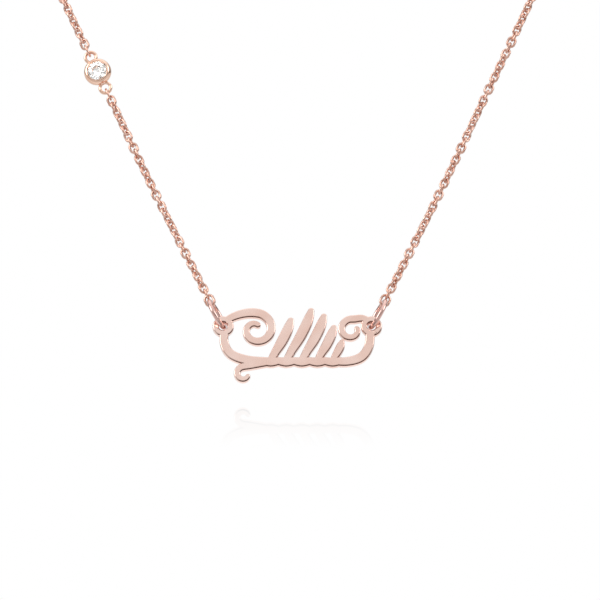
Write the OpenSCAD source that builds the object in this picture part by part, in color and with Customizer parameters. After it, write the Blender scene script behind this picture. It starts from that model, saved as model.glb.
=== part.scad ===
// Necklace with a pierced ornament plate, a cable chain, and a bezel-set stone on the left of the chain.
// The origin is the middle of the neck opening at the height of the nape. +Z is up and the plate faces -Y.

/* [Plate] */
// Distance between the middles of the two ear holes
ear_span = 25.2; // [24:0.1:27]
// Overall height of the ornament
plate_h = 13.8; // [12.5:0.1:15]
// Thickness of the plate
plate_t = 1.2; // [0.9:0.05:1.4]
// Backward lean of the plate, from upright
lean = 22; // [15:1:28]
// Outer diameter of an ear
ear_d = 3.6; // [3.4:0.1:4]
// Diameter of the hole in an ear
ear_hole_d = 1.5; // [1.5:0.05:1.7]
// Width of the stem and of the scrolls
stroke_w = 1.6; // [1.3:0.05:1.8]
// Width of a leaf at its widest
leaf_w = 1.85; // [1.5:0.05:2]
// Slant of the leaves, from upright
leaf_slant = 25; // [18:1:32]
// Height of the scallops along the lower edge
scallop_h = 0.32; // [0.1:0.02:0.5]

/* [Jump rings] */
// Outer diameter of a jump ring
ring_d = 6; // [5.4:0.1:6.4]
// Thickness of its wire
ring_wire = 0.8; // [0.6:0.02:0.82]
// Clearance between its wire and the ear hole's edge on the side it is pulled to
ring_gap = 0.44; // [0.38:0.01:0.5]
// Angle by which a ring is turned open towards the front
ring_turn = 7; // [3:1:10]

/* [Chain] */
// Length of a link
link_l = 2.14; // [2.08:0.01:2.25]
// Width of a link
link_w = 1.66; // [1.6:0.02:1.8]
// Thickness of the links' wire
link_wire = 0.42; // [0.36:0.01:0.43]
// Length of the larger link at the end of a stretch
end_link_l = 2.4; // [2.3:0.05:2.6]
// Width of that larger link
end_link_w = 1.94; // [1.9:0.02:2.1]
// Clearance where one link hangs in the next
link_gap = 0.12; // [0.11:0.01:0.15]
// Links between the left jump ring and the setting
lower_left_links = 36; // [32:2:40]
// Links above the setting, up to the shoulder
upper_left_links = 58; // [50:2:64]
// Links from the right jump ring up to the shoulder
right_links = 98; // [90:2:104]
// Greatest twist of the links to either side
chain_swing = 40; // [0:1:45]
// Links in which the twist swings to one side and back
swing_links = 9; // [8:1:20]

/* [Stone and setting] */
// Diameter of the stone
stone_d = 3.5; // [3.2:0.1:3.6]
// Outer diameter of the bezel
bezel_d = 4.7; // [4.6:0.1:5.2]
// Opening that the bezel's lip leaves over the stone
bezel_open_d = 3.2; // [3:0.05:3.3]
// Depth of the bezel below the stone's girdle
bezel_depth = 1.7; // [1.6:0.05:2]
// Outer diameter of an eyelet
eyelet_d = 2.4; // [2.3:0.1:2.6]
// Thickness of an eyelet's wire
eyelet_wire = 0.55; // [0.4:0.05:0.6]
// Distance from the middle of the stone to the middle of an eyelet
eyelet_reach = 3.05; // [3:0.05:3.3]
// Height of the stone's girdle in front of the eyelets and the chain
girdle_rise = 0.8; // [0.7:0.05:0.9]
// Clearance between the stone and the metal
stone_gap = 0.1; // [0.06:0.02:0.12]

/* [Clasp] */
// Outer diameter of the clasp's ring
clasp_d = 5.6; // [5:0.1:6.5]
// Thickness of the clasp's ring
clasp_wire = 0.8; // [0.7:0.05:0.85]
// Outer diameter of the clasp's eye
clasp_eye_d = 2.4; // [2.3:0.1:2.8]
// Thickness of the eye's wire
clasp_eye_wire = 0.45; // [0.4:0.05:0.5]
// Length of the thumb knob on the clasp's ring
knob_l = 0.9; // [0.5:0.1:1.2]

/* [Hidden] */
$fn = 48;
gold = [0.91, 0.68, 0.58];
crystal = [0.93, 0.95, 0.97];
left = -1;
right = 1;
front = [0, -1, 0];

// Route of each half of the chain, drawn for the right: it starts in the ear hole, rises along
// the chest and takes the plain way round the neck to the nape.
ear_point = [ear_span / 2, -51, -118];
route_points = [
    [23.7, -42.4, -96.3], [31.75, -36, -79.4], [39.85, -29.5, -62.4], [47.2, -20, -46],
    [52.6, -6, -31], [54.2, 10, -19.5], [51.5, 26, -11], [43.5, 41, -5.5],
    [30, 52, -2], [13, 57.6, -0.3], [0, 58.5, 0]];

// Smooth curves through a few points
curve_steps = 6;
function blend_points(a, b, c, d, t) =
    0.5 * (2 * b + (c - a) * t + (2 * a - 5 * b + 4 * c - d) * t * t
           + (3 * b - a - 3 * c + d) * t * t * t);
function smooth(p) = let (n = len(p)) concat(
    [for (i = [0 : n - 2]) for (k = [0 : curve_steps - 1])
        blend_points(p[max(i - 1, 0)], p[i], p[i + 1], p[min(i + 2, n - 1)], k / curve_steps)],
    [p[n - 1]]);
function lengths(p, i = 0, sum = 0) =
    i == len(p) ? [] : let (s = sum + (i > 0 ? norm(p[i] - p[i - 1]) : 0))
        concat([s], lengths(p, i + 1, s));

// Place on the route at a distance s from the ear hole, and the chain's direction there
route = smooth(concat([ear_point], route_points));
route_s = lengths(route);
route_l = route_s[len(route) - 1];
route_x = [for (i = [0 : len(route) - 1]) [route_s[i], route[i][0]]];
route_y = [for (i = [0 : len(route) - 1]) [route_s[i], route[i][1]]];
route_z = [for (i = [0 : len(route) - 1]) [route_s[i], route[i][2]]];
function unit(v) = v / norm(v);
function place(s, side) = [side * lookup(s, route_x), lookup(s, route_y), lookup(s, route_z)];
along_reach = 0.5;
function along(s, side) = unit(place(s + along_reach, side) - place(s - along_reach, side));

// Frame at p with x along a direction and z as near to facing as it can be
function frame_on(p, x_dir, facing) = let (
        x = unit(x_dir), y = unit(cross(facing, x)), z = cross(x, y))
    [[x[0], y[0], z[0], p[0]], [x[1], y[1], z[1], p[1]], [x[2], y[2], z[2], p[2]], [0, 0, 0, 1]];
// Direction across x_dir, turned about it by a roll from the one that faces the front
function across(x_dir, roll) = let (
        x = unit(x_dir), y = unit(cross(front, x)), z = cross(x, y))
    z * cos(roll) - y * sin(roll);

// Distances along the chain. A wire that a link hangs on lies link_gap from the link's inner end.
function hang(l, wire) = l / 2 - link_wire - link_gap - wire / 2;
pitch = link_l - 2 * link_wire - link_gap;
end_pitch = (end_link_l + link_l) / 2 - 2 * link_wire - link_gap;
ring_r = (ring_d - ring_wire) / 2;
ring_shift = (ear_hole_d - ring_wire) / 2 - ring_gap;
ring_top_s = ring_shift + 2 * ring_r;
first_link_s = ring_top_s + hang(end_link_l, ring_wire);
eyelet_r = (eyelet_d - eyelet_wire) / 2;
eyelet_hang = eyelet_reach + eyelet_r + hang(end_link_l, eyelet_wire);
setting_s = first_link_s + 2 * end_pitch + (lower_left_links - 3) * pitch + eyelet_hang;
upper_link_s = setting_s + eyelet_hang;
function last_link_s(first, links) = first + end_pitch + (links - 2) * pitch;

// One oval link, long in x, and a stretch of links that hang in one another. A stretch starts
// with a larger link, and ends with one where closed is true. Each link is turned a quarter turn
// from the one before, and the stretch twists to and fro by swing in waves of swing_links.
module half_turn(r) {
    rotate_extrude(angle = 180) translate([r, 0]) circle(d = link_wire);
}
module link(l, w) {
    r = (w - link_wire) / 2;
    straight = l - w;
    for (end = [0, 180]) rotate([0, 0, end - 90]) {
        translate([0, straight / 2, 0]) half_turn(r);
        translate([r, straight / 2, 0]) rotate([90, 0, 0]) cylinder(d = link_wire, h = straight);
    }
}
module chain(first, links, side, roll, roll_end, swing, closed) {
    waves = round((links - 1) / swing_links);
    for (k = [0 : links - 1]) {
        f = k / (links - 1);
        is_end = k == 0 || (closed && k == links - 1);
        s = first + (k == 0 ? 0 : end_pitch + (k - 1) * pitch)
            + (closed && k == links - 1 ? end_pitch - pitch : 0);
        turn = 90 * k + roll * (1 - f) + roll_end * f + swing * sin(180 * waves * f);
        multmatrix(frame_on(place(s, side), along(s, side), across(along(s, side), turn)))
            link(is_end ? end_link_l : link_l, is_end ? end_link_w : link_w);
    }
}

// The stretch that lies round the nape, as a plain tube of the chain's width
tube_sides = 8;
tube_step = 2.6 * link_w;
module nape_tube(from, to, side) {
    rings = ceil((to - from) / tube_step);
    ring_points = [for (i = [0 : rings]) let (
            s = from + (to - from) * i / rings, m = place(s, side), t = along(s, side))
        for (k = [0 : tube_sides - 1]) m + across(t, 360 * k / tube_sides) * link_w / 2];
    sides = [for (i = [0 : rings - 1]) for (k = [0 : tube_sides - 1]) let (
            a = i * tube_sides + k, b = i * tube_sides + (k + 1) % tube_sides)
        for (face = [[a, b, b + tube_sides], [a, b + tube_sides, a + tube_sides]]) face];
    ends = [[for (k = [tube_sides - 1 : -1 : 0]) k],
            [for (k = [0 : tube_sides - 1]) rings * tube_sides + k]];
    polyhedron(ring_points, concat(sides, ends), convexity = 4);
}

// A stroke of the ornament follows rows of x, y and width, with round ends.
function row_dir(p, i) = let (a = p[max(i - 1, 0)], b = p[min(i + 1, len(p) - 1)])
    unit([b[0] - a[0], b[1] - a[1]]);
function left_of(v) = [-v[1], v[0]];
cap_steps = 9;
function cap(row, from) = [for (k = [1 : cap_steps - 1]) let (a = from - 180 * k / cap_steps)
    [row[0], row[1]] + row[2] / 2 * [cos(a), sin(a)]];
function angle_of(v) = atan2(v[1], v[0]);
module stroke(p) {
    n = len(p);
    one_side = [for (i = [0 : n - 1])
        [p[i][0], p[i][1]] + left_of(row_dir(p, i)) * p[i][2] / 2];
    other_side = [for (i = [n - 1 : -1 : 0])
        [p[i][0], p[i][1]] - left_of(row_dir(p, i)) * p[i][2] / 2];
    translate([0, 0, -plate_t / 2]) linear_extrude(plate_t) polygon(concat(
        one_side, cap(p[n - 1], angle_of(left_of(row_dir(p, n - 1)))),
        other_side, cap(p[0], angle_of(-left_of(row_dir(p, 0))))));
}

// Tables of the ornament, in shares: x of half the ear span, y of the plate's height, width of a
// stroke. The ear holes are at height 0.
stem_rows = [
    [-0.985, -0.06, 0.95], [-0.985, -0.22, 0.95], [-0.90, -0.365, 1], [-0.70, -0.445, 1.05],
    [-0.46, -0.462, 0.9], [-0.20, -0.455, 0.72], [0.10, -0.455, 0.72], [0.42, -0.462, 0.8],
    [0.66, -0.468, 1], [0.86, -0.41, 1.05], [0.965, -0.26, 1], [0.985, -0.06, 0.95]];
stem_y = -0.455;
// Leaves: place of the foot along the stem, length as a share of the plate's height, and width
leaves = [
    [-0.36, 0.61, 1], [-0.15, 0.755, 1], [0.06, 0.67, 1], [0.27, 0.50, 0.95], [0.475, 0.285, 0.8]];
// Form of a leaf: distance along it and bend to the side, in lengths, and width in leaf widths
leaf_form = [
    [0, 0, 0.66], [0.2, -0.01, 0.8], [0.45, -0.03, 0.96], [0.7, -0.03, 0.98], [0.86, -0.015, 0.84],
    [0.96, 0, 0.6]];
// Scrolls: lead-in rows, then middle x and y, first and last radius, first angle, turn, and
// first and last width
scrolls = [
    [[[-0.972, 0.069, 0.75], [-0.862, 0.127, 0.88], [-0.735, 0.167, 0.97]],
     [-0.56, -0.047, 0.23, 0.07, 100, -390, 1.03, 0.62]],
    [[[0.972, 0.072, 0.69], [0.872, 0.105, 0.8]],
     [0.732, -0.05, 0.152, 0.062, 75, 320, 0.85, 0.55]],
    [[[-0.308, -0.475, 0.62], [-0.506, -0.503, 0.75], [-0.63, -0.522, 0.8]],
     [-0.719, -0.634, 0.1, 0.055, 90, 250, 0.8, 0.5]]];
scroll_step = 30;

function sized(rows) = [for (r = rows) [r[0] * ear_span / 2, r[1] * plate_h, r[2] * stroke_w]];
function scroll_rows(c) = [for (a = [0 : scroll_step : abs(c[5])]) let (
        f = a / abs(c[5]), r = (c[2] + (c[3] - c[2]) * f) * plate_h, at = c[4] + sign(c[5]) * a)
    [c[0] * ear_span / 2 + r * cos(at), c[1] * plate_h + r * sin(at),
     (c[6] + (c[7] - c[6]) * f) * stroke_w]];
module leaf(row) {
    foot = [row[0] * ear_span / 2, stem_y * plate_h];
    l = row[1] * plate_h;
    up = [sin(leaf_slant), cos(leaf_slant)];
    stroke(smooth([for (r = leaf_form) let (p = foot + l * (r[0] * up + r[1] * left_of(up)))
        [p[0], p[1], r[2] * row[2] * leaf_w]]));
}
// A scallop is a shallow bow under the foot of a leaf: x in half pitches of the leaves, depth in
// scallop heights, width in stroke widths
scallop_form = [[-1, 0.33, 0.9], [0, 1, 1], [1, 0.33, 0.9]];
module scallop(row) {
    half = (leaves[1][0] - leaves[0][0]) * ear_span / 4;
    stroke(smooth([for (r = scallop_form)
        [row[0] * ear_span / 2 + half * r[0], stem_y * plate_h - scallop_h * r[1], stroke_w * r[2]]]));
}
module ornament() {
    stroke(smooth(sized(stem_rows)));
    for (row = leaves) {
        leaf(row);
        scallop(row);
    }
    for (s = scrolls) stroke(smooth(concat(sized(s[0]), scroll_rows(s[1]))));
    for (side = [left, right]) translate([side * ear_span / 2, 0, -plate_t / 2])
        cylinder(d = ear_d, h = plate_t);
}

module nameplate() {
    color(gold) translate([0, ear_point[1], ear_point[2]]) rotate([90 - lean, 0, 0])
        difference() {
            ornament();
            for (side = [left, right]) translate([side * ear_span / 2, 0, -plate_t])
                cylinder(d = ear_hole_d, h = 2 * plate_t);
        }
}

module ring(mean_r, wire) {
    rotate_extrude() translate([mean_r, 0]) circle(d = wire);
}
// A jump ring runs through the ear hole and on to the chain. It lies along the chain's pull and
// turns its near half outwards.
module jump_ring(side) {
    pull = unit(place(ring_top_s, side) - place(0, side));
    near = across(pull, side * ring_turn);
    middle = place(0, side) + (ring_shift + ring_r) * pull;
    color(gold) multmatrix(frame_on(middle, pull, cross(pull, near))) ring(ring_r, ring_wire);
}
module jump_ring_left() {
    jump_ring(left);
}
module jump_ring_right() {
    jump_ring(right);
}

module chain_left_lower() {
    color(gold) chain(first_link_s, lower_left_links, left, -ring_turn, 0, chain_swing, true);
}
module chain_left_upper() {
    color(gold) chain(upper_link_s, upper_left_links, left, 90, 90, -chain_swing, false);
}
module chain_right_front() {
    color(gold) chain(first_link_s, right_links, right, ring_turn, 0, -chain_swing, false);
}

// Stone: a round brilliant, whose girdle is at height 0. The crown and the pavilion each have a
// ring of corners part of the way up or down.
table_d = 0.56 * stone_d;
crown_h = 0.15 * stone_d;
crown_mid_d = 0.82 * stone_d;
crown_mid_h = 0.55 * crown_h;
girdle_h = 0.03 * stone_d;
pavilion_h = 0.43 * stone_d;
pavilion_mid_d = 0.5 * stone_d;
pavilion_mid_h = 0.53 * pavilion_h;
facets = 8;
function ring_of(r, z, n, turn) = [for (k = [0 : n - 1])
    [r * cos(360 * k / n + turn), r * sin(360 * k / n + turn), z]];
module setting_frame() {
    multmatrix(frame_on(place(setting_s, left), along(setting_s, left), front)) children();
}
module cup_frame() {
    setting_frame() translate([0, 0, girdle_rise]) children();
}
module stone() {
    half = 180 / facets;
    points = concat(
        ring_of(table_d / 2, girdle_h / 2 + crown_h, facets, 0),
        ring_of(crown_mid_d / 2, girdle_h / 2 + crown_mid_h, facets, half),
        ring_of(stone_d / 2, girdle_h / 2, 2 * facets, 0),
        ring_of(stone_d / 2, -girdle_h / 2, 2 * facets, 0),
        ring_of(pavilion_mid_d / 2, -girdle_h / 2 - pavilion_mid_h, facets, half),
        [[0, 0, -girdle_h / 2 - pavilion_h]]);
    color(crystal, 0.6) cup_frame() hull()
        polyhedron(points, [for (i = [0 : len(points) - 3]) [i, i + 1, i + 2]]);
}

// Bezel: a round cup that narrows towards its open back. Above its widest circle, which lies a
// little below the girdle, it curves in to a lip over the stone.
cup_r = bezel_d / 2;
cup_back_r = 0.72 * cup_r;
back_hole_r = 0.55;
widest_z = -0.45;
seat_r = stone_d / 2 + stone_gap;
seat_h = girdle_h / 2 + stone_gap;
seat_slope = 2 * pavilion_h / stone_d;
lip_r = bezel_open_d / 2;
lip_top_r = lip_r + 0.15;
lip_z = 0.42;
lip_top_z = 0.6;
shoulder_step = 15;
module bezel_profile() {
    polygon(concat(
        [[back_hole_r, -bezel_depth], [cup_back_r, -bezel_depth]],
        [for (a = [0 : shoulder_step : 90]) [lip_top_r + (cup_r - lip_top_r) * cos(a),
                                             widest_z + (lip_top_z - widest_z) * sin(a)]],
        [[lip_r, lip_z], [seat_r, seat_h], [seat_r, -seat_h],
         [back_hole_r, -seat_h - (seat_r - back_hole_r) * seat_slope]]));
}
// The eyelets end inside the cup's wall, at this distance from its axis.
eyelet_end_r = 0.8 * cup_r;
module bezel_setting() {
    color(gold) cup_frame() rotate_extrude() bezel_profile();
    color(gold) difference() {
        setting_frame() for (side = [left, right]) translate([side * eyelet_reach, 0, 0])
            ring(eyelet_r, eyelet_wire);
        cup_frame() translate([0, 0, -bezel_depth]) cylinder(r = eyelet_end_r, h = bezel_depth);
    }
}

// Clasp: a plain ring with a thumb knob and an eye soldered on
clasp_r = (clasp_d - clasp_wire) / 2;
clasp_eye_r = (clasp_eye_d - clasp_eye_wire) / 2;
clasp_eye_x = clasp_d / 2 + clasp_eye_d / 2 - clasp_eye_wire;
clasp_l = clasp_d / 2 + clasp_eye_x + clasp_eye_d / 2;
clasp_mid_x = clasp_l / 2 - clasp_d / 2;
knob_d = 0.75 * clasp_wire;
knob_angle = 45;
tube_gap = 0.2;
module clasp() {
    nape = place(route_l, right);
    color(gold) translate([clasp_mid_x, nape[1], nape[2]]) rotate([90, 0, 0]) {
        ring(clasp_r, clasp_wire);
        translate([-clasp_eye_x, 0, 0]) ring(clasp_eye_r, clasp_eye_wire);
        rotate([0, 0, knob_angle]) translate([clasp_r, 0, 0]) rotate([0, 90, 0])
            cylinder(d = knob_d, h = knob_l);
    }
}
tube_end_s = route_l - clasp_l / 2 - tube_gap;
module chain_left_nape() {
    color(gold) nape_tube(last_link_s(upper_link_s, upper_left_links) + link_l / 2 + tube_gap,
                          tube_end_s, left);
}
module chain_right_nape() {
    color(gold) nape_tube(last_link_s(first_link_s, right_links) + link_l / 2 + tube_gap,
                          tube_end_s, right);
}

nameplate();
jump_ring_left();
jump_ring_right();
chain_left_lower();
bezel_setting();
stone();
chain_left_upper();
chain_left_nape();
chain_right_front();
chain_right_nape();
clasp();
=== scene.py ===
"""Necklace in polished rose gold: ornament plate, jump rings, cable chain, bezel-set stone and clasp.

The scene works in metres, in the frame of the CAD model: +Z up, the plate faces -Y, and the
origin is the middle of the neck opening at the height of the nape. Sizes are given in mm.
"""
import math

import bmesh
import bpy
from mathutils import Matrix, Vector


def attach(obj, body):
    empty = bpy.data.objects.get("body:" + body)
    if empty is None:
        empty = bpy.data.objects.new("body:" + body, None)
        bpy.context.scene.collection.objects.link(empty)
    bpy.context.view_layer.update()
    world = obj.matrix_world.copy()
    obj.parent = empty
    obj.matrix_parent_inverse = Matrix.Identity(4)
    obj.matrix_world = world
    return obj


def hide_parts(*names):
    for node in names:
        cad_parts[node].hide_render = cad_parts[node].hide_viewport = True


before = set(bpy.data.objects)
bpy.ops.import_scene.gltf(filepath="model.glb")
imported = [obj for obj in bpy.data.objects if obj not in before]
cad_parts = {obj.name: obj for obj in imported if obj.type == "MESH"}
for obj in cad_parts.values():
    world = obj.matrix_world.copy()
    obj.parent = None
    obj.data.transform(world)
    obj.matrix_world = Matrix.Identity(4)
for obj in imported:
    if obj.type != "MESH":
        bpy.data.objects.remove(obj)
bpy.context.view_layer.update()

MM = 0.001
LEFT, RIGHT = -1, 1
FRONT = Vector((0, -1, 0))


# Camera: the photograph looks level at the plate, from far away
PHOTO_WIDTH = 102 * MM
PHOTO_MIDDLE = Vector((0.45 * MM, -51 * MM, -113.4 * MM))
CAMERA_DISTANCE = 3.0
SENSOR = 36


def set_camera():
    data = bpy.data.cameras.new("photo_camera")
    data.sensor_width = SENSOR
    data.lens = SENSOR * CAMERA_DISTANCE / PHOTO_WIDTH
    data.clip_start, data.clip_end = 0.05, 30
    camera = bpy.data.objects.new("photo_camera", data)
    camera.location = PHOTO_MIDDLE + FRONT * CAMERA_DISTANCE
    camera.rotation_euler = (math.radians(90), 0, 0)
    bpy.context.scene.collection.objects.link(camera)
    bpy.context.scene.camera = camera


set_camera()


# Sizes in mm, as the CAD source has them
EAR_SPAN, EAR_DEPTH, EAR_HEIGHT, EAR_HOLE = 25.2, -51, -118, 1.5
RING_OUTER, RING_WIRE, RING_GAP, RING_TURN = 6.0, 0.8, 0.44, 7
LINK_LENGTH, LINK_WIDTH, LINK_WIRE, LINK_GAP = 2.14, 1.66, 0.42, 0.12
END_LENGTH, END_WIDTH = 2.4, 1.94
LOWER_LEFT_LINKS, UPPER_LEFT_LINKS, RIGHT_LINKS = 36, 58, 98
CHAIN_SWING, SWING_LINKS = 40, 9
STONE, STONE_GAP, GIRDLE_RISE = 3.5, 0.1, 0.8
BEZEL, BEZEL_OPEN, BEZEL_DEPTH = 4.7, 3.2, 1.7
EYELET, EYELET_WIRE, EYELET_REACH = 2.4, 0.55, 3.05
CLASP, CLASP_WIRE, CLASP_EYE, CLASP_EYE_WIRE, KNOB_LENGTH = 5.6, 0.8, 2.4, 0.45, 0.9
ROUTE_POINTS = [
    (EAR_SPAN / 2, EAR_DEPTH, EAR_HEIGHT), (23.7, -42.4, -96.3), (31.75, -36, -79.4),
    (39.85, -29.5, -62.4), (47.2, -20, -46), (52.6, -6, -31), (54.2, 10, -19.5), (51.5, 26, -11),
    (43.5, 41, -5.5), (30, 52, -2), (13, 57.6, -0.3), (0, 58.5, 0)]
CURVE_STEPS = 6
# Wire of six flat sides is drawn this much wider, so that it covers as much as round wire does
LINK_SIDES, LINK_STEPS, FLAT_SIDED = 6, 14, 1.07
RING_SIDES, RING_STEPS = 24, 96


def smooth_route(points):
    """A smooth curve through the route's points, as the CAD source draws it."""
    p = [Vector(q) for q in points]
    last = len(p) - 1
    path = []
    for i in range(last):
        a, b, c, d = p[max(i - 1, 0)], p[i], p[i + 1], p[min(i + 2, last)]
        for k in range(CURVE_STEPS):
            t = k / CURVE_STEPS
            path.append(0.5 * (2 * b + (c - a) * t + (2 * a - 5 * b + 4 * c - d) * t ** 2
                               + (3 * b - a - 3 * c + d) * t ** 3))
    return path + [p[last]]


ROUTE = smooth_route(ROUTE_POINTS)
ROUTE_AT = [0.0]
for i in range(1, len(ROUTE)):
    ROUTE_AT.append(ROUTE_AT[-1] + (ROUTE[i] - ROUTE[i - 1]).length)
ROUTE_LENGTH = ROUTE_AT[-1]
ALONG_REACH = 0.5


def place(s, side):
    """The point of the route at a distance s from the ear hole."""
    s = min(max(s, 0), ROUTE_LENGTH)
    i = max(k for k in range(len(ROUTE) - 1) if ROUTE_AT[k] <= s)
    p = ROUTE[i].lerp(ROUTE[i + 1], (s - ROUTE_AT[i]) / (ROUTE_AT[i + 1] - ROUTE_AT[i]))
    return Vector((side * p.x, p.y, p.z))


def along(s, side):
    return (place(s + ALONG_REACH, side) - place(s - ALONG_REACH, side)).normalized()


def across(direction, roll):
    """The way across a direction, turned about it by a roll from the one that faces the front."""
    y = FRONT.cross(direction).normalized()
    z = direction.cross(y)
    return z * math.cos(math.radians(roll)) - y * math.sin(math.radians(roll))


def frame_on(point, direction, facing):
    """A place in metres, with x along a direction and z as near to facing as it can be."""
    x = direction.normalized()
    y = facing.cross(x).normalized()
    z = x.cross(y)
    turn = Matrix((x, y, z)).transposed().to_4x4()
    return Matrix.Translation(point * MM) @ turn


def hang(length, wire):
    """From the middle of a wire to the middle of a link that hangs on it."""
    return length / 2 - LINK_WIRE - LINK_GAP - wire / 2


PITCH = LINK_LENGTH - 2 * LINK_WIRE - LINK_GAP
END_PITCH = (END_LENGTH + LINK_LENGTH) / 2 - 2 * LINK_WIRE - LINK_GAP
RING_MEAN = (RING_OUTER - RING_WIRE) / 2
RING_SHIFT = (EAR_HOLE - RING_WIRE) / 2 - RING_GAP
RING_TOP_AT = RING_SHIFT + 2 * RING_MEAN
FIRST_LINK_AT = RING_TOP_AT + hang(END_LENGTH, RING_WIRE)
EYELET_MEAN = (EYELET - EYELET_WIRE) / 2
EYELET_HANG = EYELET_REACH + EYELET_MEAN + hang(END_LENGTH, EYELET_WIRE)
SETTING_AT = FIRST_LINK_AT + 2 * END_PITCH + (LOWER_LEFT_LINKS - 3) * PITCH + EYELET_HANG
UPPER_LINK_AT = SETTING_AT + EYELET_HANG
CLASP_MEAN = (CLASP - CLASP_WIRE) / 2
CLASP_EYE_MEAN = (CLASP_EYE - CLASP_EYE_WIRE) / 2
CLASP_EYE_X = CLASP / 2 + CLASP_EYE / 2 - CLASP_EYE_WIRE
CLASP_LENGTH = CLASP / 2 + CLASP_EYE_X + CLASP_EYE / 2
CLASP_MIDDLE_X = CLASP_LENGTH / 2 - CLASP / 2


def last_link_at(first, links):
    return first + END_PITCH + (links - 2) * PITCH


# Node trees
def new_input(tree, name, kind, value=None):
    socket = tree.interface.new_socket(name, in_out="INPUT", socket_type=kind)
    if value is not None:
        socket.default_value = value
    return socket


def new_output(tree, name, kind):
    return tree.interface.new_socket(name, in_out="OUTPUT", socket_type=kind)


class Bench:
    """Adds nodes to a tree and links them, so that a tree reads like a recipe."""

    def __init__(self, tree):
        self.tree = tree

    def node(self, kind, inputs=(), **settings):
        n = self.tree.nodes.new(kind)
        for key, value in settings.items():
            setattr(n, key, value)
        for key, value in dict(inputs).items():
            self.feed(n.inputs[key], value)
        return n

    def feed(self, socket, value):
        if isinstance(value, bpy.types.NodeSocket):
            self.tree.links.new(value, socket)
        elif value is not None:
            socket.default_value = value

    def math(self, operation, a, b=None, c=None):
        return self.node("ShaderNodeMath", {0: a, 1: b, 2: c}, operation=operation).outputs[0]

    def vector(self, operation, a, b=None, out=0):
        return self.node("ShaderNodeVectorMath", {0: a, 1: b}, operation=operation).outputs[out]

    def fade(self, value, low, high, at_low, at_high, soft=False):
        """A value that runs from at_low to at_high while the given one runs from low to high."""
        return self.node("ShaderNodeMapRange", {
            "Value": value, "From Min": low, "From Max": high, "To Min": at_low, "To Max": at_high},
            interpolation_type="SMOOTHSTEP" if soft else "LINEAR").outputs[0]

    def mix_colours(self, factor, a, b):
        n = self.node("ShaderNodeMix", {0: factor, 6: a, 7: b}, data_type="RGBA")
        return n.outputs[2]


def round_wire(b, line, wire, sides):
    """Wire swept along a curve."""
    section = b.node("GeometryNodeCurvePrimitiveCircle", {
        "Resolution": sides, "Radius": b.math("MULTIPLY", wire, 0.5)}).outputs[0]
    return b.node("GeometryNodeCurveToMesh", {"Curve": line, "Profile Curve": section}).outputs[0]


def polished(b, solid, metal):
    """The end of each tree: whole geometry, smooth shading and the metal."""
    real = b.node("GeometryNodeRealizeInstances", {0: solid}).outputs[0]
    soft = b.node("GeometryNodeSetShadeSmooth", {0: real}).outputs[0]
    return b.node("GeometryNodeSetMaterial", {"Geometry": soft, "Material": metal}).outputs[0]


def oval_link(b, length, width, wire, sides, steps):
    """One oval link of round wire, long in x."""
    mean = b.math("MULTIPLY", b.math("SUBTRACT", width, wire), 0.5)
    circle = b.node("GeometryNodeCurvePrimitiveCircle", {
        "Resolution": steps, "Radius": mean}).outputs[0]
    x = b.node("ShaderNodeSeparateXYZ", {0: b.node("GeometryNodeInputPosition").outputs[0]}).outputs[0]
    half_straight = b.math("MULTIPLY", b.math("SUBTRACT", length, width), 0.5)
    stretch = b.node("ShaderNodeCombineXYZ", {
        0: b.math("MULTIPLY", b.math("SIGN", x), half_straight)}).outputs[0]
    oval = b.node("GeometryNodeSetPosition", {"Geometry": circle, "Offset": stretch}).outputs[0]
    return round_wire(b, oval, b.math("MULTIPLY", wire, FLAT_SIDED), sides)


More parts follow.
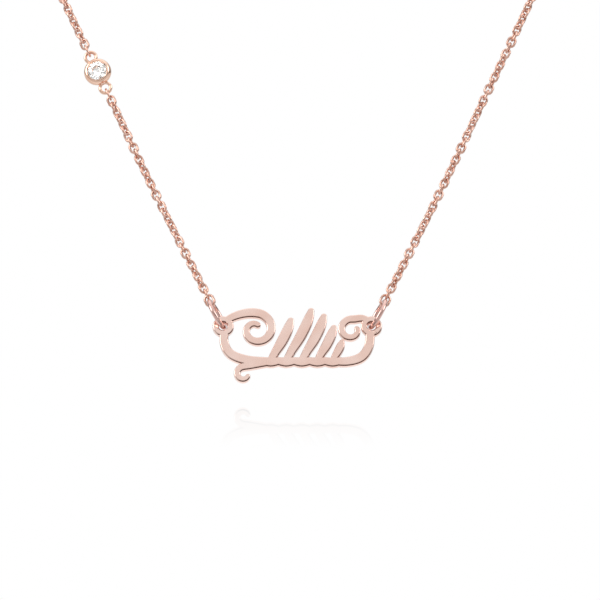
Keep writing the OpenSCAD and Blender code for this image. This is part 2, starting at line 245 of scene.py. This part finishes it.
def cable_chain_tree():
    """A stretch of cable chain along the host's line, each link a quarter turn from the last."""
    tree = bpy.data.node_groups.new("cable_chain", "GeometryNodeTree")
    new_input(tree, "Line", "NodeSocketGeometry")
    new_input(tree, "Links", "NodeSocketInt", 10)
    for name in ("First Link At", "Pitch", "End Pitch", "Link Length", "Link Width", "End Length",
                 "End Width", "Wire", "Roll", "Roll End", "Swing", "Waves"):
        new_input(tree, name, "NodeSocketFloat", 0.0)
    new_input(tree, "Large First", "NodeSocketBool", True)
    new_input(tree, "Large Last", "NodeSocketBool", False)
    new_input(tree, "Wire Sides", "NodeSocketInt", LINK_SIDES)
    new_input(tree, "Link Steps", "NodeSocketInt", LINK_STEPS)
    new_input(tree, "Metal", "NodeSocketMaterial")
    new_output(tree, "Chain", "NodeSocketGeometry")
    b = Bench(tree)
    given = b.node("NodeGroupInput").outputs

    # Distance of each link along the line
    k = b.node("GeometryNodeInputIndex").outputs[0]
    last = b.math("SUBTRACT", given["Links"], 1)
    is_first = b.math("MULTIPLY", b.math("COMPARE", k, 0.0, 0.1), given["Large First"])
    is_last = b.math("MULTIPLY", b.math("COMPARE", k, last, 0.1), given["Large Last"])
    end_extra = b.math("SUBTRACT", given["End Pitch"], given["Pitch"])
    past_first = b.math("MULTIPLY", b.math("GREATER_THAN", k, 0.5), given["Large First"])
    at = b.math("ADD", given["First Link At"], b.math("MULTIPLY", k, given["Pitch"]))
    at = b.math("ADD", at, b.math("MULTIPLY", b.math("ADD", past_first, is_last), end_extra))

    # Place and direction on the line
    line = b.node("GeometryNodeMeshToCurve", {0: given["Line"]}).outputs[0]

    def on_line(shift):
        n = b.node("GeometryNodeSampleCurve", {"Curves": line, "Length": b.math("ADD", at, shift)},
                   mode="LENGTH", use_all_curves=True)
        return n.outputs["Position"]
    reach = ALONG_REACH * MM
    direction = b.vector("NORMALIZE", b.vector("SUBTRACT", on_line(reach), on_line(-reach)))
    facing = b.node("FunctionNodeAxesToRotation", {0: direction, 1: tuple(FRONT)},
                    primary_axis="X", secondary_axis="Z").outputs[0]

    # Roll about the chain's own line
    f = b.math("DIVIDE", k, last)
    quarter = b.math("MULTIPLY", k, math.pi / 2)
    drift = b.math("ADD", given["Roll"], b.math(
        "MULTIPLY", f, b.math("SUBTRACT", given["Roll End"], given["Roll"])))
    swing = b.math("MULTIPLY", given["Swing"], b.math(
        "SINE", b.math("MULTIPLY", b.math("MULTIPLY", f, given["Waves"]), math.pi)))
    roll = b.math("ADD", quarter, b.math("ADD", drift, swing))
    turn = b.node("FunctionNodeAxisAngleToRotation", {"Axis": (1, 0, 0), "Angle": roll}).outputs[0]
    rotation = b.node("FunctionNodeRotateRotation", {0: facing, 1: turn},
                      rotation_space="LOCAL").outputs[0]

    points = b.node("GeometryNodePoints", {"Count": given["Links"], "Position": on_line(0)}).outputs[0]
    is_large = b.math("MAXIMUM", is_first, is_last)
    all_links = b.node("GeometryNodeJoinGeometry")
    for length, width, chosen in (
            (given["Link Length"], given["Link Width"], b.math("SUBTRACT", 1, is_large)),
            (given["End Length"], given["End Width"], is_large)):
        shape = oval_link(b, length, width, given["Wire"], given["Wire Sides"], given["Link Steps"])
        placed = b.node("GeometryNodeInstanceOnPoints", {
            "Points": points, "Selection": chosen, "Instance": shape, "Rotation": rotation})
        tree.links.new(placed.outputs[0], all_links.inputs[0])
    b.node("NodeGroupOutput", {0: polished(b, all_links.outputs[0], given["Metal"])})
    return tree


def wire_ring_tree():
    """A round ring of wire at the host's point, in the plane of x and y."""
    tree = bpy.data.node_groups.new("wire_ring", "GeometryNodeTree")
    new_input(tree, "Points", "NodeSocketGeometry")
    new_input(tree, "Mean Radius", "NodeSocketFloat", 1.0)
    new_input(tree, "Wire", "NodeSocketFloat", 0.1)
    new_input(tree, "Steps", "NodeSocketInt", RING_STEPS)
    new_input(tree, "Wire Sides", "NodeSocketInt", RING_SIDES)
    new_input(tree, "Metal", "NodeSocketMaterial")
    new_output(tree, "Rings", "NodeSocketGeometry")
    b = Bench(tree)
    given = b.node("NodeGroupInput").outputs
    circle = b.node("GeometryNodeCurvePrimitiveCircle", {
        "Resolution": given["Steps"], "Radius": given["Mean Radius"]}).outputs[0]
    ring = round_wire(b, circle, given["Wire"], given["Wire Sides"])
    placed = b.node("GeometryNodeInstanceOnPoints", {
        "Points": given["Points"], "Instance": ring}).outputs[0]
    b.node("NodeGroupOutput", {0: polished(b, placed, given["Metal"])})
    return tree


def mesh_from(tree, name, host_mesh, values):
    """Runs a node tree on a host mesh and keeps the result as a plain mesh, with its faces outwards."""
    host = bpy.data.objects.new(name + "_host", host_mesh)
    bpy.context.scene.collection.objects.link(host)
    modifier = host.modifiers.new(tree.name, "NODES")
    modifier.node_group = tree
    sockets = {s.name: s for s in tree.interface.items_tree if s.in_out == "INPUT"}
    for key, value in values.items():
        modifier[sockets[key].identifier] = value
    bpy.context.view_layer.update()
    done = host.evaluated_get(bpy.context.evaluated_depsgraph_get())
    mesh = bpy.data.meshes.new_from_object(done)
    host.modifiers.remove(modifier)
    bpy.data.objects.remove(host)
    shape = bmesh.new()
    shape.from_mesh(mesh)
    bmesh.ops.recalc_face_normals(shape, faces=shape.faces)
    shape.to_mesh(mesh)
    shape.free()
    return mesh


def new_piece(name, mesh):
    mesh.name = name
    piece = bpy.data.objects.new(name, mesh)
    bpy.context.scene.collection.objects.link(piece)
    return piece


def metal_piece(name, mesh, *nodes):
    """A piece of the part's gold, in place of the CAD nodes that it follows."""
    piece = new_piece(name, mesh)
    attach(piece, "root")
    for node in nodes:
        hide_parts(node)
    return piece


def joined(name, meshes):
    """Several meshes as one, with the material of the first."""
    shape = bmesh.new()
    for mesh in meshes:
        shape.from_mesh(mesh)
    whole = bpy.data.meshes.new(name)
    shape.to_mesh(whole)
    shape.free()
    for material in meshes[0].materials:
        whole.materials.append(material)
    return whole


# Finishes
# Face attribute that holds the painted shade on the plate's rounded edges: a dark colour in place of a
# dark reflection
PAINTED_EDGE_SHADE = "painted_edge_shade"
NOISE_LOW, NOISE_HIGH = 0.3, 0.7
HAIRLINE_SCALE = 9.0


def hand_polish_group():
    """The faint unevenness that a polishing wheel leaves: soft waves, a shade and fine hairlines."""
    tree = bpy.data.node_groups.new("hand_polish", "ShaderNodeTree")
    new_input(tree, "Colour", "NodeSocketColor", (0.9, 0.65, 0.54, 1))
    new_input(tree, "Deep Colour", "NodeSocketColor", (0.85, 0.58, 0.46, 1))
    new_input(tree, "Wave Scale", "NodeSocketFloat", 300.0)
    new_input(tree, "Roughness Low", "NodeSocketFloat", 0.1)
    new_input(tree, "Roughness High", "NodeSocketFloat", 0.2)
    new_output(tree, "Colour", "NodeSocketColor")
    new_output(tree, "Roughness", "NodeSocketFloat")
    new_output(tree, "Height", "NodeSocketFloat")
    b = Bench(tree)
    given = b.node("NodeGroupInput").outputs
    spot = b.node("ShaderNodeTexCoord").outputs["Object"]
    wave = b.node("ShaderNodeTexNoise", {
        "Vector": spot, "Scale": given["Wave Scale"], "Detail": 1.0}).outputs[0]
    fine_scale = b.math("MULTIPLY", given["Wave Scale"], HAIRLINE_SCALE)
    fine = b.node("ShaderNodeTexNoise", {
        "Vector": spot, "Scale": fine_scale, "Detail": 2.0}).outputs[0]
    depth = b.fade(wave, NOISE_LOW, NOISE_HIGH, 0.0, 1.0)
    shade = b.mix_colours(depth, given["Colour"], given["Deep Colour"])
    rough = b.fade(fine, NOISE_LOW, NOISE_HIGH, given["Roughness Low"], given["Roughness High"])
    b.node("NodeGroupOutput", {0: shade, 1: rough, 2: wave})
    return tree


def rose_gold(name, colour, deep, wave_scale, wave_depth, roughness, painted_shade=None):
    """Polished rose gold with the hand polish's soft waves, and optionally painted shade on rounded
    edges.
    """
    material = bpy.data.materials.new(name)
    material.use_nodes = True
    tree = material.node_tree
    tree.nodes.clear()
    b = Bench(tree)
    finish = b.node("ShaderNodeGroup", node_tree=POLISH)
    for key, value in {"Colour": (*colour, 1), "Deep Colour": (*deep, 1), "Wave Scale": wave_scale,
                       "Roughness Low": roughness[0], "Roughness High": roughness[1]}.items():
        finish.inputs[key].default_value = value
    bump = b.node("ShaderNodeBump", {
        "Strength": 1.0, "Distance": wave_depth, "Height": finish.outputs["Height"]})
    seen_colour = finish.outputs["Colour"]
    # Painted shade: the dark colour mixed in on the rounded edges that the face attribute marks
    if painted_shade:
        shade = b.node("ShaderNodeAttribute", attribute_name=PAINTED_EDGE_SHADE).outputs["Fac"]
        seen_colour = b.mix_colours(shade, seen_colour, (*painted_shade, 1))
    metal = b.node("ShaderNodeBsdfPrincipled", {
        "Base Color": seen_colour, "Roughness": finish.outputs["Roughness"],
        "Metallic": 1.0, "Normal": bump.outputs[0]})
    b.node("ShaderNodeOutputMaterial", {0: metal.outputs[0]})
    return material


def clear_stone():
    """Cut stone: part of the light goes through it, and part comes back from its many facets."""
    material = bpy.data.materials.new("clear_stone")
    material.use_nodes = True
    tree = material.node_tree
    tree.nodes.clear()
    b = Bench(tree)
    stone = b.node("ShaderNodeBsdfPrincipled", {
        "Base Color": (0.99, 0.99, 0.97, 1), "Roughness": 0.0, "IOR": 1.85,
        "Transmission Weight": 0.92, "Metallic": 0.0})
    b.node("ShaderNodeOutputMaterial", {0: stone.outputs[0]})
    return material


POLISH = hand_polish_group()
# The same rose gold in four copies, painted lighter or darker per piece as light and shade: the plate's
# lightest, then the setting's, the rings' and, darkest, the chain's. The plate's last colour is the dark
# colour painted as shade on its rounded edges.
PLATE_GOLD = rose_gold(
    "rose_gold_plate", colour=(0.97, 0.74, 0.66), deep=(0.90, 0.63, 0.54),
    wave_scale=230, wave_depth=0.08 * MM, roughness=(0.10, 0.18),
    painted_shade=(0.12, 0.035, 0.02))
CHAIN_GOLD = rose_gold(
    "rose_gold_chain", colour=(0.81, 0.54, 0.45), deep=(0.67, 0.38, 0.29),
    wave_scale=700, wave_depth=0.004 * MM, roughness=(0.08, 0.18))
RING_GOLD = rose_gold(
    "rose_gold_ring", colour=(0.79, 0.55, 0.50), deep=(0.69, 0.43, 0.38),
    wave_scale=500, wave_depth=0.006 * MM, roughness=(0.10, 0.2))
SETTING_GOLD = rose_gold(
    "rose_gold_setting", colour=(0.94, 0.66, 0.52), deep=(0.86, 0.55, 0.41),
    wave_scale=500, wave_depth=0.006 * MM, roughness=(0.08, 0.16))
STONE_FINISH = clear_stone()


# Chain
def route_line(side):
    mesh = bpy.data.meshes.new("route")
    mesh.from_pydata([(side * p.x * MM, p.y * MM, p.z * MM) for p in ROUTE],
                     [(i, i + 1) for i in range(len(ROUTE) - 1)], [])
    return mesh


CABLE_CHAIN = cable_chain_tree()


def chain_stretch(name, node, side, first_at, links, roll, roll_end, swing, pitch=PITCH,
                  large_first=True, large_last=False):
    """A stretch of links in place of the CAD node that it follows."""
    mesh = mesh_from(CABLE_CHAIN, name, route_line(side), {
        "Links": links, "First Link At": first_at * MM, "Pitch": pitch * MM,
        "End Pitch": END_PITCH * MM, "Link Length": LINK_LENGTH * MM, "Link Width": LINK_WIDTH * MM,
        "End Length": END_LENGTH * MM, "End Width": END_WIDTH * MM, "Wire": LINK_WIRE * MM,
        "Roll": math.radians(roll), "Roll End": math.radians(roll_end),
        "Swing": math.radians(swing), "Waves": float(round((links - 1) / SWING_LINKS)),
        "Large First": large_first, "Large Last": large_last, "Wire Sides": LINK_SIDES,
        "Link Steps": LINK_STEPS, "Metal": CHAIN_GOLD})
    return metal_piece(name, mesh, node)


def nape_stretch(name, node, side, front_last, wire_x, wire, roll_before):
    """The links from the last one in front to the one that hangs on the clasp."""
    end = ROUTE_LENGTH - wire_x - hang(END_LENGTH, wire)
    stretch = end - front_last - (END_PITCH - PITCH)
    steps = math.ceil(stretch / PITCH)
    if (roll_before / 90 + steps) % 2 == 0:
        steps += 1
    pitch = stretch / steps
    return chain_stretch(name, node, side, front_last + pitch, steps, roll_before + 90,
                         roll_before + 90, CHAIN_SWING, pitch, large_first=False, large_last=True)


chain_stretch("chain_left_lower_links", "chain_left_lower", LEFT, FIRST_LINK_AT, LOWER_LEFT_LINKS,
              -RING_TURN, 0, CHAIN_SWING, large_last=True)
chain_stretch("chain_left_upper_links", "chain_left_upper", LEFT, UPPER_LINK_AT, UPPER_LEFT_LINKS,
              90, 90, -CHAIN_SWING)
chain_stretch("chain_right_front_links", "chain_right_front", RIGHT, FIRST_LINK_AT, RIGHT_LINKS,
              RING_TURN, 0, -CHAIN_SWING)
nape_stretch("chain_left_nape_links", "chain_left_nape", LEFT,
             last_link_at(UPPER_LINK_AT, UPPER_LEFT_LINKS),
             CLASP_EYE_X + CLASP_EYE_MEAN - CLASP_MIDDLE_X, CLASP_EYE_WIRE, 90 * UPPER_LEFT_LINKS)
nape_stretch("chain_right_nape_links", "chain_right_nape", RIGHT,
             last_link_at(FIRST_LINK_AT, RIGHT_LINKS),
             CLASP_MIDDLE_X + CLASP_MEAN, CLASP_WIRE, 90 * (RIGHT_LINKS - 1))


# Jump rings, setting, stone and clasp
WIRE_RING = wire_ring_tree()


def ring_mesh(mean, wire, where, metal):
    """A ring of wire, in mm, at a place in metres."""
    host = bpy.data.meshes.new("ring_middle")
    host.from_pydata([(0, 0, 0)], [], [])
    mesh = mesh_from(WIRE_RING, "ring", host, {
        "Mean Radius": mean * MM, "Wire": wire * MM, "Steps": RING_STEPS, "Wire Sides": RING_SIDES,
        "Metal": metal})
    mesh.transform(where)
    return mesh


CREASE = math.radians(40)
MERGE_WITHIN = 0.0001 * MM


def turned_mesh(profile, where, metal, steps=RING_STEPS):
    """A mesh turned about z from a closed row of radius and height, in mm, at a place in metres."""
    count = len(profile)
    turns = [2 * math.pi * k / steps for k in range(steps)]
    points = [(r * math.cos(a) * MM, r * math.sin(a) * MM, z * MM) for a in turns for r, z in profile]
    faces = [(k * count + i, (k + 1) % steps * count + i,
              (k + 1) % steps * count + (i + 1) % count, k * count + (i + 1) % count)
             for k in range(steps) for i in range(count)]
    mesh = bpy.data.meshes.new("turned")
    mesh.from_pydata(points, [], faces)
    shape = bmesh.new()
    shape.from_mesh(mesh)
    bmesh.ops.remove_doubles(shape, verts=shape.verts, dist=MERGE_WITHIN)
    on_axis = [edge for edge in shape.edges if not edge.link_faces]
    bmesh.ops.delete(shape, geom=on_axis, context="EDGES")
    bmesh.ops.recalc_face_normals(shape, faces=shape.faces)
    for face in shape.faces:
        face.smooth = True
    for edge in shape.edges:
        edge.smooth = edge.calc_face_angle() < CREASE
    shape.to_mesh(mesh)
    shape.free()
    mesh.materials.append(metal)
    mesh.transform(where)
    return mesh


def jump_ring(name, side):
    """A ring through the ear hole that lies along the chain's pull, its near half turned outwards."""
    pull = (place(RING_TOP_AT, side) - place(0, side)).normalized()
    near = across(pull, side * RING_TURN)
    middle = place(0, side) + (RING_SHIFT + RING_MEAN) * pull
    mesh = ring_mesh(RING_MEAN, RING_WIRE, frame_on(middle, pull, pull.cross(near)), RING_GOLD)
    return metal_piece(name + "_polished", mesh, name)


CUP = BEZEL / 2
CUP_BACK = 0.72 * CUP
BACK_HOLE = 0.55
WIDEST = -0.45
GIRDLE, PAVILION = 0.03 * STONE, 0.43 * STONE
SEAT, SEAT_HEIGHT = STONE / 2 + STONE_GAP, GIRDLE / 2 + STONE_GAP
SEAT_SLOPE = 2 * PAVILION / STONE
LIP, LIP_HEIGHT = BEZEL_OPEN / 2, 0.42
LIP_TOP, LIP_TOP_HEIGHT = LIP + 0.15, 0.6
LIP_ROUNDING, BACK_ROUNDING = 0.07, 0.2
SHOULDER_STEPS = 18


def rounded(before, corner, after, size, steps=4):
    """The corner of a profile, rounded over a length to each side of it."""
    a, c, b = Vector(before), Vector(corner), Vector(after)
    start = c + (a - c).normalized() * size
    end = c + (b - c).normalized() * size
    curve = []
    for k in range(steps + 1):
        t = k / steps
        p = start * (1 - t) ** 2 + c * 2 * t * (1 - t) + end * t ** 2
        curve.append((p.x, p.y))
    return curve


def cup_profile():
    """The bezel's wall: a taper, a shoulder that curves in to the lip, and the stone's seat."""
    back_inner, back_outer = (BACK_HOLE, -BEZEL_DEPTH), (CUP_BACK, -BEZEL_DEPTH)
    inward, rise = CUP - LIP_TOP, LIP_TOP_HEIGHT - WIDEST
    quarter = [math.pi / 2 * k / SHOULDER_STEPS for k in range(SHOULDER_STEPS + 1)]
    shoulder = [(LIP_TOP + inward * math.cos(a), WIDEST + rise * math.sin(a)) for a in quarter]
    lip, seat_top = (LIP, LIP_HEIGHT), (SEAT, SEAT_HEIGHT)
    return ([back_inner] + rounded(back_inner, back_outer, shoulder[0], BACK_ROUNDING)
            + shoulder[:-1] + rounded(shoulder[-3], shoulder[-1], lip, LIP_ROUNDING)
            + rounded(shoulder[-1], lip, seat_top, LIP_ROUNDING)
            + [seat_top, (SEAT, -SEAT_HEIGHT),
               (BACK_HOLE, -SEAT_HEIGHT - (SEAT - BACK_HOLE) * SEAT_SLOPE)])


def bezel_setting():
    """The cup with the eyelets that are soldered to its sides."""
    middle = frame_on(place(SETTING_AT, LEFT), along(SETTING_AT, LEFT), FRONT)
    raised = middle @ Matrix.Translation((0, 0, GIRDLE_RISE * MM))
    cup = turned_mesh(cup_profile(), raised, SETTING_GOLD)
    eyelets = [ring_mesh(EYELET_MEAN, EYELET_WIRE,
                         middle @ Matrix.Translation((side * EYELET_REACH * MM, 0, 0)), SETTING_GOLD)
               for side in (LEFT, RIGHT)]
    return metal_piece("bezel_setting_polished", joined("setting", [cup] + eyelets), "bezel_setting")


KNOB_RADIUS = 0.75 * CLASP_WIRE / 2
KNOB_TURN = math.radians(45)
KNOB_STEPS = 32
QUARTER = math.radians(90)


def clasp():
    """The plain ring at the nape, with its eye and its thumb knob."""
    nape = place(ROUTE_LENGTH, RIGHT) + Vector((CLASP_MIDDLE_X, 0, 0))
    flat = Matrix.Translation(nape * MM) @ Matrix.Rotation(QUARTER, 4, "X")
    foot, rim, top = (KNOB_RADIUS, 0), (KNOB_RADIUS, KNOB_LENGTH), (0, KNOB_LENGTH)
    knob_profile = [(0, 0), foot] + rounded(foot, rim, top, KNOB_RADIUS / 2) + [top]
    on_ring = Matrix.Rotation(KNOB_TURN, 4, "Z") @ Matrix.Translation((CLASP_MEAN * MM, 0, 0))
    knob_place = flat @ on_ring @ Matrix.Rotation(QUARTER, 4, "Y")
    whole = joined("clasp", [
        ring_mesh(CLASP_MEAN, CLASP_WIRE, flat, RING_GOLD),
        ring_mesh(CLASP_EYE_MEAN, CLASP_EYE_WIRE,
                  flat @ Matrix.Translation((-CLASP_EYE_X * MM, 0, 0)), RING_GOLD),
        turned_mesh(knob_profile, knob_place, RING_GOLD, steps=KNOB_STEPS)])
    return metal_piece("clasp_polished", whole, "clasp")


jump_ring("jump_ring_left", LEFT)
jump_ring("jump_ring_right", RIGHT)
bezel_setting()
clasp()
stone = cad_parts["stone"]
stone.data.materials.clear()
stone.data.materials.append(STONE_FINISH)


# Plate
LEAN = math.radians(22)
PLATE_FACE = Vector((0, -math.cos(LEAN), math.sin(LEAN)))
EDGE_ROUNDING, EDGE_STEPS = 0.22, 3
SAME_POINT = 0.002 * MM
SAME_PLANE = math.radians(1)
# A face whose normal lies this near to the plate's is flat, or at least turned to the front
FLAT, TO_THE_FRONT = 0.99, 0.1
# Painted shade on the rounded edges, a dark colour in place of the dark reflection they catch:
# how far its direction leans to the right, how far an edge faces it where the shade starts and
# where it is full, and the least that each rounded edge has
SHADE_SIDEWAYS, SHADE_FROM, SHADE_FULL, LEAST_PAINTED_SHADE = 0.3, 0.3, 0.6, 0.15


def merged_copy(node):
    """A copy of a CAD node's mesh with its loose triangles joined and its flat faces made whole."""
    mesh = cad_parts[node].data.copy()
    shape = bmesh.new()
    shape.from_mesh(mesh)
    bmesh.ops.remove_doubles(shape, verts=shape.verts, dist=SAME_POINT)
    bmesh.ops.dissolve_limit(shape, angle_limit=SAME_PLANE, verts=shape.verts, edges=shape.edges)
    shape.to_mesh(mesh)
    shape.free()
    return mesh


def mark_rims(mesh):
    """Marks the edges between the plate's flat faces and its walls, for the rounding."""
    shape = bmesh.new()
    shape.from_mesh(mesh)
    weight = shape.edges.layers.float.new("bevel_weight_edge")
    for edge in shape.edges:
        flat_faces = [face for face in edge.link_faces if abs(face.normal.dot(PLATE_FACE)) > FLAT]
        edge[weight] = 1.0 if len(flat_faces) == 1 else 0.0
    shape.to_mesh(mesh)
    shape.free()


def ramp(value, low, high):
    return min(max((value - low) / (high - low), 0), 1)


def paint_shade_on_edges(mesh):
    """Marks painted shade on the rounded edges that face away from the light, below and to the right."""
    away = Vector((SHADE_SIDEWAYS, -math.sin(LEAN), -math.cos(LEAN))).normalized()
    shade = mesh.attributes.new(PAINTED_EDGE_SHADE, "FLOAT", "FACE")
    for facet in mesh.polygons:
        if TO_THE_FRONT < facet.normal.dot(PLATE_FACE) < FLAT:
            tone = ramp(facet.normal.dot(away), SHADE_FROM, SHADE_FULL)
            # Every rounded edge at the front gets at least a little painted shade
            shade.data[facet.index].value = max(tone, LEAST_PAINTED_SHADE)


def plate():
    """The ornament plate, with the fine rounding that polishing gives its edges."""
    mesh = merged_copy("nameplate")
    mark_rims(mesh)
    mesh.materials.clear()
    mesh.materials.append(PLATE_GOLD)
    for face in mesh.polygons:
        face.use_smooth = True
        face.material_index = 0
    blank = new_piece("plate_blank", mesh)
    rounding = blank.modifiers.new("polished edge", "BEVEL")
    rounding.width = EDGE_ROUNDING * MM
    rounding.segments = EDGE_STEPS
    rounding.limit_method = "WEIGHT"
    rounding.use_clamp_overlap = False
    rounding.miter_outer = "MITER_ARC"
    flat = blank.modifiers.new("flat face", "WEIGHTED_NORMAL")
    flat.keep_sharp = False
    flat.weight = 100
    bpy.context.view_layer.update()
    done = blank.evaluated_get(bpy.context.evaluated_depsgraph_get())
    polished_mesh = bpy.data.meshes.new_from_object(done)
    blank.modifiers.clear()
    bpy.data.objects.remove(blank)
    # The rounded edges get their painted shade, a dark colour in place of a dark reflection
    paint_shade_on_edges(polished_mesh)
    return metal_piece("nameplate_polished", polished_mesh, "nameplate")


plate()


# Floor and light
WHITE = (1, 1, 1, 1)
FLOOR = -129.6 * MM
FLOOR_HALF = 5
# How light the floor is in reflections: all over, more under the plate, a share of that behind it,
# and less on a grey card in front of it. Each pair below says where a change starts and where it
# ends, in metres: along y, or to each side for the card's own sides.
FLOOR_LEVEL, UNDER_PLATE, BEHIND_PLATE, CARD = 0.7, 0.28, 0.3, 0.35
UNDER_PLATE_FRONT, UNDER_PLATE_BACK = (-0.0548, -0.0538), (-0.03, -0.02)
CARD_FRONT, CARD_BACK, CARD_SIDE = (-0.078, -0.066), (-0.0558, -0.0548), (0.0105, 0.0125)
# The faint mirror image: its strength, how sharp it is, and where it fades out in front and behind
MIRROR, MIRROR_ROUGHNESS = 0.18, 0.002
MIRROR_FRONT, MIRROR_BACK = (-1.12, -0.35), (-0.2, 0.5)


def floor_finish():
    """Pale floor with a faint mirror image that fades towards the front.

    The camera sees it white. In reflections it is pale grey, a little lighter under the plate and
    darker in a patch just in front of it, as where a grey card lies.
    """
    material = bpy.data.materials.new("pale_floor")
    material.use_nodes = True
    tree = material.node_tree
    tree.nodes.clear()
    b = Bench(tree)
    x, y, _ = b.node("ShaderNodeSeparateXYZ", {
        0: b.node("ShaderNodeTexCoord").outputs["Object"]}).outputs
    seen = b.node("ShaderNodeLightPath").outputs["Is Camera Ray"]
    lit = b.math("MULTIPLY", b.fade(y, *UNDER_PLATE_FRONT, 0.0, UNDER_PLATE),
                 b.fade(y, *UNDER_PLATE_BACK, 1.0, BEHIND_PLATE))
    card_depth = b.math("MULTIPLY", b.fade(y, *CARD_FRONT, 0.0, 1.0), b.fade(y, *CARD_BACK, 1.0, 0.0))
    card = b.math("MULTIPLY", b.fade(b.math("ABSOLUTE", x), *CARD_SIDE, 1.0, 0.0), card_depth)
    in_metal = b.math("SUBTRACT", b.math("ADD", lit, FLOOR_LEVEL), b.math("MULTIPLY", card, CARD))
    glow = b.node("ShaderNodeEmission", {
        "Color": WHITE, "Strength": b.math("MAXIMUM", seen, in_metal)})
    gloss = b.node("ShaderNodeBsdfGlossy", {"Color": WHITE, "Roughness": MIRROR_ROUGHNESS})
    share = b.math("MULTIPLY", b.fade(y, *MIRROR_FRONT, 0.0, MIRROR), b.fade(y, *MIRROR_BACK, 1.0, 0.0))
    mixed = b.node("ShaderNodeMixShader", {
        0: b.math("MULTIPLY", share, seen), 1: glow.outputs[0], 2: gloss.outputs[0]})
    b.node("ShaderNodeOutputMaterial", {0: mixed.outputs[0]})
    return material


def set_floor():
    mesh = bpy.data.meshes.new("floor")
    corners = [(x * FLOOR_HALF, y * FLOOR_HALF, FLOOR) for x, y in ((-1, -1), (1, -1), (1, 1), (-1, 1))]
    mesh.from_pydata(corners, [], [(0, 1, 2, 3)])
    mesh.materials.append(floor_finish())
    new_piece("floor", mesh)


# The tent's own light, and its patches: direction, angle within which a patch is full, angle at
# which it ends, and strength. A dark flag takes away a share of the light instead.
TENT = 0.42
LIGHTS = {
    "behind": ((0, 1, 0.2), 20, 70, 0.2),
    "above": ((0, 0.25, 1), 20, 60, 0.8),
    "on the plate's face": ((0, -0.72, 0.69), 14, 34, 0.42),
    "soft box, left": ((-0.85, -0.35, 0.5), 14, 26, 3.6),
    "soft box, right": ((0.85, -0.3, 0.55), 12, 22, 3.0)}
FLAGS = {
    "front": ((0, -1, -0.1), 9, 28, 0.5),
    "right": ((1, 0.3, -0.15), 14, 36, 0.8),
    "left": ((-1, 0.1, -0.1), 14, 34, 0.6)}
HORIZON = ((0, 1, 0), 2, 5, 1.0)
THROUGH_STONE = 2.1


def set_studio():
    """A pale tent with soft boxes and dark flags, and stronger light for what the stone lets through."""
    world = bpy.data.worlds.new("studio")
    bpy.context.scene.world = world
    world.use_nodes = True
    tree = world.node_tree
    tree.nodes.clear()
    b = Bench(tree)
    way = b.vector("NORMALIZE", b.node("ShaderNodeTexCoord").outputs["Generated"])

    def patch(axis, inner, outer, strength):
        toward = b.vector("DOT_PRODUCT", way, tuple(Vector(axis).normalized()), out="Value")
        return b.fade(toward, math.cos(math.radians(outer)), math.cos(math.radians(inner)),
                      0.0, strength, soft=True)
    light = TENT
    for row in LIGHTS.values():
        light = b.math("ADD", light, patch(*row))
    for row in FLAGS.values():
        light = b.math("MULTIPLY", light, b.math("SUBTRACT", 1, patch(*row)))
    light = b.math("MAXIMUM", light, patch(*HORIZON))
    rays = b.node("ShaderNodeLightPath").outputs
    extra = b.math("MULTIPLY", rays["Is Transmission Ray"], THROUGH_STONE)
    light = b.math("MULTIPLY", light, b.math("ADD", 1, extra))
    level = b.math("MAXIMUM", light, rays["Is Camera Ray"])
    glow = b.node("ShaderNodeBackground", {"Color": WHITE, "Strength": level})
    b.node("ShaderNodeOutputWorld", {0: glow.outputs[0]})


set_floor()
set_studio()
bpy.context.scene.view_settings.view_transform = "Standard"
